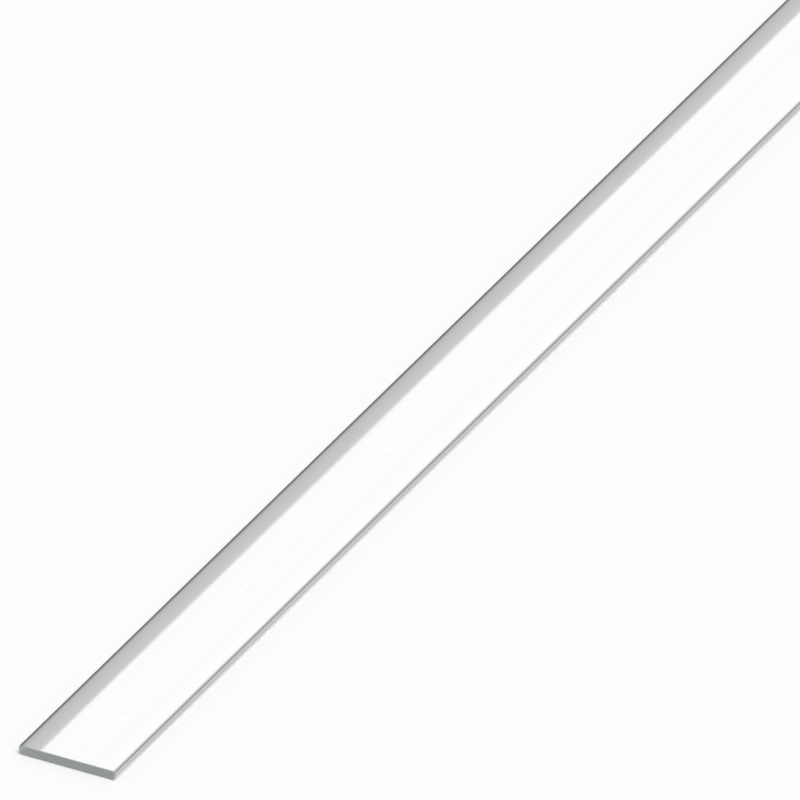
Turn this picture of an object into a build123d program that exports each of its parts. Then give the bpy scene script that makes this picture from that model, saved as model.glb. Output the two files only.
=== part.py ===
"""Aluminium flat bar: one length of extruded rectangular stock, lying on its broad face.

The bar runs along X, with its width along Y. The origin is the middle of the underside.
"""

import os

from build123d import *

# Driving dimensions, in millimetres
bar_length = 1000.0  # stock length, cut square at both ends
bar_width = 20.0  # broad face
bar_thickness = 2.0  # narrow face
edge_radius = 0.5  # rounding that the die leaves along the four long edges
end_break = 0.1  # burr taken off around each sawn end

os.makedirs("parts", exist_ok=True)

with BuildPart() as flat_bar:
    # The die's opening is the bar's section, standing on the floor at the near sawn end
    with BuildSketch(Plane.YZ.offset(-bar_length / 2)) as die_opening:
        with Locations((0, bar_thickness / 2)):
            RectangleRounded(bar_width, bar_thickness, edge_radius)
    extrude(amount=bar_length)

    # Each saw cut is deburred all the way round its outline
    sawn_ends = flat_bar.faces().filter_by(Axis.X)
    chamfer(sawn_ends.edges(), length=end_break)

flat_bar.part.label = "flat_bar"
export_step(flat_bar.part, "parts/flat_bar.step")
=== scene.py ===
"""Looks, light and camera for one length of extruded aluminium flat bar.

The bar lies along X on a pale floor, with its near sawn end at -X and its near long side at -Y.
Cards around it, which only the metal shows, give it the greys and dark lines that it mirrors.
"""

import math

import bmesh
import bpy
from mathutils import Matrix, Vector


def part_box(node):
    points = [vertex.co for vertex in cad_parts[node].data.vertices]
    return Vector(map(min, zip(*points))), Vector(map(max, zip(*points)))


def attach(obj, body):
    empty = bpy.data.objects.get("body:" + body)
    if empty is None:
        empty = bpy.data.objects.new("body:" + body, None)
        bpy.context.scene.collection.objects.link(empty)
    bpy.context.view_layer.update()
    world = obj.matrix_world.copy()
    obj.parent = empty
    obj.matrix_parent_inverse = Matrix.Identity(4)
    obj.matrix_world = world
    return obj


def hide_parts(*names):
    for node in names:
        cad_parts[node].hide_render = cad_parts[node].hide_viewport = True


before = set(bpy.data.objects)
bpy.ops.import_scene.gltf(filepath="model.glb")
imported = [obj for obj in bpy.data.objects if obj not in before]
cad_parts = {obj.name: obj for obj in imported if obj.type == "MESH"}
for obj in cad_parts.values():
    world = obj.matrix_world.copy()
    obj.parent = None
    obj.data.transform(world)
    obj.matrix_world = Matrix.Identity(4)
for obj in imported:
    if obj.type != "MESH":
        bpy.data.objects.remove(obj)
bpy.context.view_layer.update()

MM = 0.001  # lengths are in metres

# The bar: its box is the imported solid's, and its edges are what the die and the saw leave
BAR_LOW, BAR_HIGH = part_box("flat_bar")
BAR_SIZE = BAR_HIGH - BAR_LOW
EDGE_RADIUS = 0.5 * MM  # rounding along the four long edges
EDGE_STEPS = 8  # flats in each rounded edge
ARC_PROFILE = 0.5  # the bevel's profile that is a true arc
END_BREAK = 0.1 * MM  # burr taken off around each sawn end
SMOOTH_ANGLE = math.radians(30)  # sharper creases stay creased
FLAT_WEIGHT = 100  # how far the broad faces settle the shading at their edges
END_LEAN = 0.5  # a face whose normal leans further along the bar belongs to a sawn end

# The extruded finish
METAL = Vector((0.917, 0.921, 0.921))
METAL_ROUGHNESS, METAL_DULLING = 0.04, 0.08  # where the noise is 0, and what it adds where it is 1
STREAK_LENGTH, STREAK_WIDTH = 400 * MM, 1.6 * MM
STREAK_NOISE = {"Detail": 3.0, "Roughness": 0.55}
STREAK_SHADE = 0.015  # share of the colour that a streak takes off or adds
DIE_LINE_LENGTH, DIE_LINE_WIDTH = 150 * MM, 0.18 * MM
DIE_LINE_NOISE = {"Detail": 2.0, "Roughness": 0.6}
DIE_LINE_DEPTH = 0.004 * MM

# The sawn finish
# Darker than the extruded metal: painted shade for the shadow in the cut's fine grooves
SAWN_METAL = Vector((0.690, 0.718, 0.728))
SAWN_ROUGHNESS, SAWN_DULLING = 0.38, 0.1  # where the noise is 0, and what it adds where it is 1
SAW_HUB = Vector((0, -60 * MM, 110 * MM))  # the blade's middle, seen along the bar
SAW_MARK_WIDTH = 0.4 * MM
SAW_MARK_NOISE = {"Detail": 4.0, "Roughness": 0.6}
SAW_MARK_SHADE = 0.05  # share of the colour that a mark takes off or adds, as painted glint on its ridges and painted shade in its grooves
SAW_MARK_DEPTH = 0.025 * MM

# Where a noise texture's values mostly lie
NOISE_LOW, NOISE_HIGH = 0.3, 0.7

# The map that fine detail is kept on: the share of its height for each side, by axis and way
MAP_MARGIN = 0.01
MAP_SHARES = {
    (2, 1): 0.38,
    (2, -1): 0.30,
    (1, 1): 0.06,
    (1, -1): 0.06,
    (0, 1): 0.06,
    (0, -1): 0.06,
}
MAP_AXES = {2: (0, 1), 1: (0, 2), 0: (1, 2)}  # which of a side's axes run across and up the map

# The photograph's view
VIEW_AZIMUTH = math.radians(-62.05)
VIEW_ELEVATION = math.radians(31.08)
AIM = Vector((BAR_LOW.x + 143.0 * MM, 7.21 * MM, 0))
PICTURE_WIDTH = 148.16 * MM  # what the picture's width takes in at the aim
LENS = 1650.0  # in millimetres, so long that the bar's edges look almost parallel
SENSOR = 36.0  # in millimetres

# The floor, the sky's tones by the sine of the height above the horizon, and the lamp
FLOOR_REACH = 6.0  # from the bar's middle to each side of the floor
FLOOR_DROP = 0.02 * MM  # keeps the floor just clear of the bar's underside
FLOOR_TONE = 0.97
SKY_TONES = ((0.0, 1.0), (0.17, 0.8), (0.5, 0.62), (1.0, 0.5))
LAMP_WAY = Vector((-0.8, -2.0, 4.6))  # from the bar towards the lamp
LAMP_SPREAD = math.radians(43)  # how wide the lamp looks from the bar
LAMP_STRENGTH = 1.48  # in watts per square metre

# Cards that the metal mirrors, with their tones by the share of the way up, or across towards +Y
CARD_MARGIN = 60 * MM  # how far the long cards run past the bar's ends
FAR_GAP = 0.3 * MM  # from the far long side to its standing cards
FAR_GREY_TOP = 8.2 * MM  # sets the width of the grey strip that the top face shows
FAR_WHITE_TOP = 250 * MM
NEAR_REACH = 3 * MM  # from the near long side to its standing card
NEAR_DARK_TOP = 4 * MM
END_REACH = 50 * MM  # how far the floor cards run out from the sawn ends
FAR_GREY_TONES = ((0.0, 0.66), (0.15, 0.66), (0.2, 0.17), (0.37, 0.17), (0.45, 0.55), (1.0, 0.66))
FAR_WHITE_TONES = ((0.0, 1.06), (0.09, 1.06), (0.25, 0.8), (1.0, 0.7))
NEAR_DARK_TONES = ((0.0, 0.62), (0.34, 0.62), (0.41, 0.17), (0.75, 0.17), (1.0, 0.36))
NEAR_FLOOR_TONES = ((0.0, 0.63), (0.55, 0.63), (0.61, 0.57), (0.69, 0.57), (0.77, 0.84), (1.0, 0.92))
END_FLOOR_TONES = ((0.0, 0.39), (1.0, 0.4))


class Shader:
    """A node tree that nodes are added to."""

    def __init__(self, tree):
        self.tree = tree
        tree.nodes.clear()

    def add(self, kind, settings=None, sockets=None, output=0):
        """Adds a node, makes its settings, fills its sockets and returns one of its outputs."""
        node = self.tree.nodes.new(kind)
        for name, value in (settings or {}).items():
            if name == "stops":
                set_stops(node.color_ramp, value)
            else:
                setattr(node, name, value)
        for name, value in (sockets or {}).items():
            if isinstance(value, Wire):
                self.tree.links.new(value.socket, node.inputs[name])
            else:
                node.inputs[name].default_value = value
        if node.outputs:
            return Wire(self, node.outputs[output])


class Wire:
    """A node's output. Adding to it or multiplying it adds a Math node."""

    def __init__(self, shader, socket):
        self.shader = shader
        self.socket = socket

    def __add__(self, other):
        return self.shader.add("ShaderNodeMath", {"operation": "ADD"}, {0: self, 1: other})

    def __mul__(self, other):
        return self.shader.add("ShaderNodeMath", {"operation": "MULTIPLY"}, {0: self, 1: other})

    __radd__ = __add__
    __rmul__ = __mul__


def set_stops(ramp, stops):
    """Gives a ramp its stops, each a place and a colour."""
    while len(ramp.elements) < len(stops):
        ramp.elements.new(1.0)
    for element, (place, colour) in zip(ramp.elements, stops, strict=True):
        element.position = place
        element.color = (*colour, 1.0)


def grey(tone):
    """A grey as a colour."""
    return Vector((tone, tone, tone))


def grey_ramp(shader, tones, value):
    """Greys that follow a value, from pairs of a value and its tone."""
    stops = [(place, grey(tone)) for place, tone in tones]
    return shader.add("ShaderNodeValToRGB", {"stops": stops}, {"Fac": value})


def new_material(name):
    """A material with an empty node tree, and the shader that fills it."""
    material = bpy.data.materials.new(name)
    material.use_nodes = True
    return material, Shader(material.node_tree)


def metal_surface(shader, colour, pattern, shade, roughness, dulling, relief, depth):
    """Bare metal: a pattern varies its colour and gloss, and a relief lifts its surface."""
    stops = ((NOISE_LOW, colour * (1 - shade)), (NOISE_HIGH, colour * (1 + shade)))
    tint = shader.add("ShaderNodeValToRGB", {"stops": stops}, {"Fac": pattern})
    normal = shader.add("ShaderNodeBump", {}, {"Strength": 1.0, "Distance": depth, "Height": relief})
    sockets = {
        "Base Color": tint,
        "Metallic": 1.0,
        "Roughness": roughness + dulling * pattern,
        "Normal": normal,
    }
    surface = shader.add("ShaderNodeBsdfPrincipled", {}, sockets)
    shader.add("ShaderNodeOutputMaterial", {}, {"Surface": surface})


def drawn_out_noise(shader, length, width, noise):
    """Noise in streaks along the bar, of about a given length and width."""
    place = shader.add("ShaderNodeTexCoord", output="Object")
    scale = (1 / length, 1 / width, 1 / width)
    scaled = shader.add("ShaderNodeMapping", {}, {"Vector": place, "Scale": scale})
    sockets = {"Vector": scaled, "Scale": 1.0, **noise}
    return shader.add("ShaderNodeTexNoise", {"noise_dimensions": "3D"}, sockets)


def ringed_noise(shader, hub, width, noise):
    """Noise in rings about a hub, seen along the bar, of about a given width."""
    place = shader.add("ShaderNodeTexCoord", output="Object")
    sockets = {"Vector": place, "Location": -hub, "Scale": (0, 1, 1)}
    from_hub = shader.add("ShaderNodeMapping", {}, sockets)
    radius = shader.add("ShaderNodeVectorMath", {"operation": "LENGTH"}, {0: from_hub}, output="Value")
    sockets = {"W": radius, "Scale": 1 / width, **noise}
    return shader.add("ShaderNodeTexNoise", {"noise_dimensions": "1D"}, sockets)


def extruded_finish():
    """Aluminium as it leaves the die: bright, with faint streaks and fine lines along it."""
    material, shader = new_material("bright_extruded")
    streaks = drawn_out_noise(shader, STREAK_LENGTH, STREAK_WIDTH, STREAK_NOISE)
    die_lines = drawn_out_noise(shader, DIE_LINE_LENGTH, DIE_LINE_WIDTH, DIE_LINE_NOISE)
    metal_surface(
        shader,
        colour=METAL,
        pattern=streaks,
        shade=STREAK_SHADE,
        roughness=METAL_ROUGHNESS,
        dulling=METAL_DULLING,
        relief=die_lines,
        depth=DIE_LINE_DEPTH,
    )
    return material


def sawn_finish():
    """A saw cut: duller, with the marks of the teeth in arcs about the blade's hub."""
    material, shader = new_material("sawn_end")
    # The tooth marks lift the surface and lighten its colour where they stand high: painted glint and
    # painted groove shade
    marks = ringed_noise(shader, SAW_HUB, SAW_MARK_WIDTH, SAW_MARK_NOISE)
    metal_surface(
        shader,
        colour=SAWN_METAL,
        pattern=marks,
        shade=SAW_MARK_SHADE,
        roughness=SAWN_ROUGHNESS,
        dulling=SAWN_DULLING,
        relief=marks,
        depth=SAW_MARK_DEPTH,
    )
    return material


def fit_new_object(name, size):
    """Names the newest object, scales its unit shape to a size and puts its place in its mesh."""
    new = bpy.context.object
    new.name = name
    new.scale = size
    bpy.ops.object.transform_apply(location=True, rotation=True, scale=True)
    return new


def add_box(name, low, high):
    """A box between two corners, as the only thing selected."""
    bpy.ops.object.select_all(action="DESELECT")
    bpy.ops.mesh.primitive_cube_add(size=1, calc_uvs=False, location=(low + high) / 2)
    return fit_new_object(name, high - low)


def add_rectangle(name, low, high):
    """A flat rectangle between two corners, standing along X or lying, as the only thing selected."""
    size = high - low
    standing = size.y == 0
    turn = (math.pi / 2, 0, 0) if standing else (0, 0, 0)
    bpy.ops.object.select_all(action="DESELECT")
    bpy.ops.mesh.primitive_plane_add(size=1, location=(low + high) / 2, rotation=turn)
    return fit_new_object(name, (size.x, size.z if standing else size.y, 1))


def select_where(mesh, kind, wanted):
    """In edit mode, selects the edges or faces that pass a test, and nothing else."""
    bpy.ops.mesh.select_mode(type=kind)
    bpy.ops.mesh.select_all(action="DESELECT")
    shape = bmesh.from_edit_mesh(mesh)
    for element in {"EDGE": shape.edges, "FACE": shape.faces}[kind]:
        element.select_set(wanted(element))
    bmesh.update_edit_mesh(mesh)


def runs_along_bar(edge):
    """Whether an edge goes from one end of the bar to the other."""
    start, end = edge.verts
    return abs(end.co.x - start.co.x) > BAR_SIZE.x / 2


def is_at_end(face):
    """Whether a face belongs to a sawn end. Its deburred edge does too."""
    return abs(face.normal.x) > END_LEAN


def side_of(face):
    """The axis that a face looks along, and which way."""
    if is_at_end(face):
        axis = 0
    else:
        axis = 1 if abs(face.normal.y) > abs(face.normal.z) else 2
    return axis, 1 if face.normal[axis] > 0 else -1


def map_bar(mesh):
    """Lays each side of the bar in its own band of the map, all of them as wide as the map."""
    layer = mesh.uv_layers.new(name="OFBake")
    bottoms = {}
    bottom = MAP_MARGIN
    for side, share in MAP_SHARES.items():
        bottoms[side] = bottom
        bottom += share + MAP_MARGIN
    for face in mesh.polygons:
        side = side_of(face)
        across, up = MAP_AXES[side[0]]
        for loop in face.loop_indices:
            place = mesh.vertices[mesh.loops[loop].vertex_index].co - BAR_LOW
            layer.data[loop].uv = (
                MAP_MARGIN + (1 - 2 * MAP_MARGIN) * place[across] / BAR_SIZE[across],
                bottoms[side] + MAP_SHARES[side] * place[up] / BAR_SIZE[up],
            )


def model_bar():
    """The bar: a long box, rounded along its long edges and deburred around its sawn ends."""
    burr = Vector((END_BREAK, 0, 0))
    bar = add_box("extruded_bar", BAR_LOW + burr, BAR_HIGH - burr)
    bpy.ops.object.mode_set(mode="EDIT")
    select_where(bar.data, "EDGE", runs_along_bar)
    bpy.ops.mesh.bevel(offset=EDGE_RADIUS, segments=EDGE_STEPS, profile=ARC_PROFILE, affect="EDGES")
    select_where(bar.data, "FACE", is_at_end)
    bpy.ops.mesh.inset(thickness=END_BREAK, depth=END_BREAK, use_individual=True)
    bpy.ops.object.mode_set(mode="OBJECT")
    bpy.ops.object.shade_smooth_by_angle(angle=SMOOTH_ANGLE)
    bpy.ops.object.modifier_add(type="WEIGHTED_NORMAL")
    flats = bar.modifiers["WeightedNormal"]
    flats.weight = FLAT_WEIGHT
    flats.keep_sharp = True
    bpy.ops.object.modifier_apply(modifier=flats.name)
    return bar


def finish_bar(bar):
    """Gives the bar its map and its finishes: extruded all over, but sawn at its ends."""
    map_bar(bar.data)
    bar.data.materials.append(extruded_finish())
    bar.data.materials.append(sawn_finish())
    for face in bar.data.polygons:
        face.material_index = int(is_at_end(face))


def lay_floor():
    """A pale floor, far wider than the bar."""
    corner = Vector((FLOOR_REACH, FLOOR_REACH, 0))
    drop = Vector((0, 0, -FLOOR_DROP))
    floor = add_rectangle("floor", drop - corner, drop + corner)
    material, shader = new_material("pale_floor")
    surface = shader.add("ShaderNodeBsdfDiffuse", {}, {"Color": (*grey(FLOOR_TONE), 1.0)})
    shader.add("ShaderNodeOutputMaterial", {}, {"Surface": surface})
    floor.data.materials.append(material)


def add_card(name, low, high, tones):
    """A glowing card that only the metal mirrors. Its glow doesn't light the floor."""
    card = add_rectangle(name, low, high)
    material, shader = new_material(name)
    spot = shader.add("ShaderNodeTexCoord", output="UV")
    way_up = shader.add("ShaderNodeSeparateXYZ", {}, {"Vector": spot}, output="Y")
    tone = grey_ramp(shader, tones, way_up)
    glow = shader.add("ShaderNodeEmission", {}, {"Color": tone, "Strength": 1.0})
    clear = shader.add("ShaderNodeBsdfTransparent")
    off_floor = shader.add("ShaderNodeLightPath", output="Diffuse Depth")
    surface = shader.add("ShaderNodeMixShader", {}, {0: off_floor, 1: glow, 2: clear})
    shader.add("ShaderNodeOutputMaterial", {}, {"Surface": surface})
    card.data.materials.append(material)
    card.visible_camera = False
    card.visible_diffuse = False
    card.visible_shadow = False


def set_cards():
    """Cards behind the bar, before it and on the floor around it."""
    left, right = BAR_LOW.x - CARD_MARGIN, BAR_HIGH.x + CARD_MARGIN
    near, far = BAR_LOW.y - NEAR_REACH, BAR_HIGH.y + FAR_GAP
    foot = BAR_LOW.y + EDGE_RADIUS  # where the near long side curls under
    front, back = BAR_LOW.x - END_REACH, BAR_HIGH.x + END_REACH
    cards = {
        "far_grey_card": ((left, far, 0), (right, far, FAR_GREY_TOP), FAR_GREY_TONES),
        "far_white_card": ((left, far, FAR_GREY_TOP), (right, far, FAR_WHITE_TOP), FAR_WHITE_TONES),
        "near_dark_card": ((left, near, 0), (right, near, NEAR_DARK_TOP), NEAR_DARK_TONES),
        "near_floor_card": ((left, near, 0), (right, foot, 0), NEAR_FLOOR_TONES),
        "front_floor_card": ((front, foot, 0), (BAR_LOW.x, far, 0), END_FLOOR_TONES),
        "back_floor_card": ((BAR_HIGH.x, foot, 0), (back, far, 0), END_FLOOR_TONES),
    }
    for name, (low, high, tones) in cards.items():
        add_card(name, Vector(low), Vector(high), tones)


def light_sky():
    """A pale sky, darker overhead."""
    world = bpy.data.worlds.new("studio")
    world.use_nodes = True
    bpy.context.scene.world = world
    shader = Shader(world.node_tree)
    direction = shader.add("ShaderNodeTexCoord", output="Generated")
    height = shader.add("ShaderNodeSeparateXYZ", {}, {"Vector": direction}, output="Z")
    tone = grey_ramp(shader, SKY_TONES, height)
    sky = shader.add("ShaderNodeBackground", {}, {"Color": tone, "Strength": 1.0})
    shader.add("ShaderNodeOutputWorld", {}, {"Surface": sky})


def hang_lamp():
    """One soft far-off lamp, which the metal doesn't mirror."""
    bpy.ops.object.light_add(type="SUN")
    lamp = bpy.context.object
    lamp.name = "soft_lamp"
    lamp.data.angle = LAMP_SPREAD
    lamp.data.energy = LAMP_STRENGTH
    lamp.rotation_euler = LAMP_WAY.to_track_quat("Z", "Y").to_euler()
    lamp.visible_glossy = False


def place_camera():
    """A camera at the photograph's angle, far off with a long lens."""
    level = math.cos(VIEW_ELEVATION)
    east, north = math.sin(VIEW_AZIMUTH) * level, -math.cos(VIEW_AZIMUTH) * level
    back = Vector((east, north, math.sin(VIEW_ELEVATION)))
    bpy.ops.object.camera_add(location=AIM + back * (PICTURE_WIDTH * LENS / SENSOR))
    camera = bpy.context.object
    camera.data.lens = LENS
    camera.data.sensor_width = SENSOR
    camera.rotation_euler = (-back).to_track_quat("-Z", "Y").to_euler()
    bpy.context.scene.camera = camera


bar = model_bar()
finish_bar(bar)
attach(bar, "root")
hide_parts("flat_bar")

lay_floor()
set_cards()
light_sky()
hang_lamp()
place_camera()
bpy.context.scene.view_settings.view_transform = "Standard"
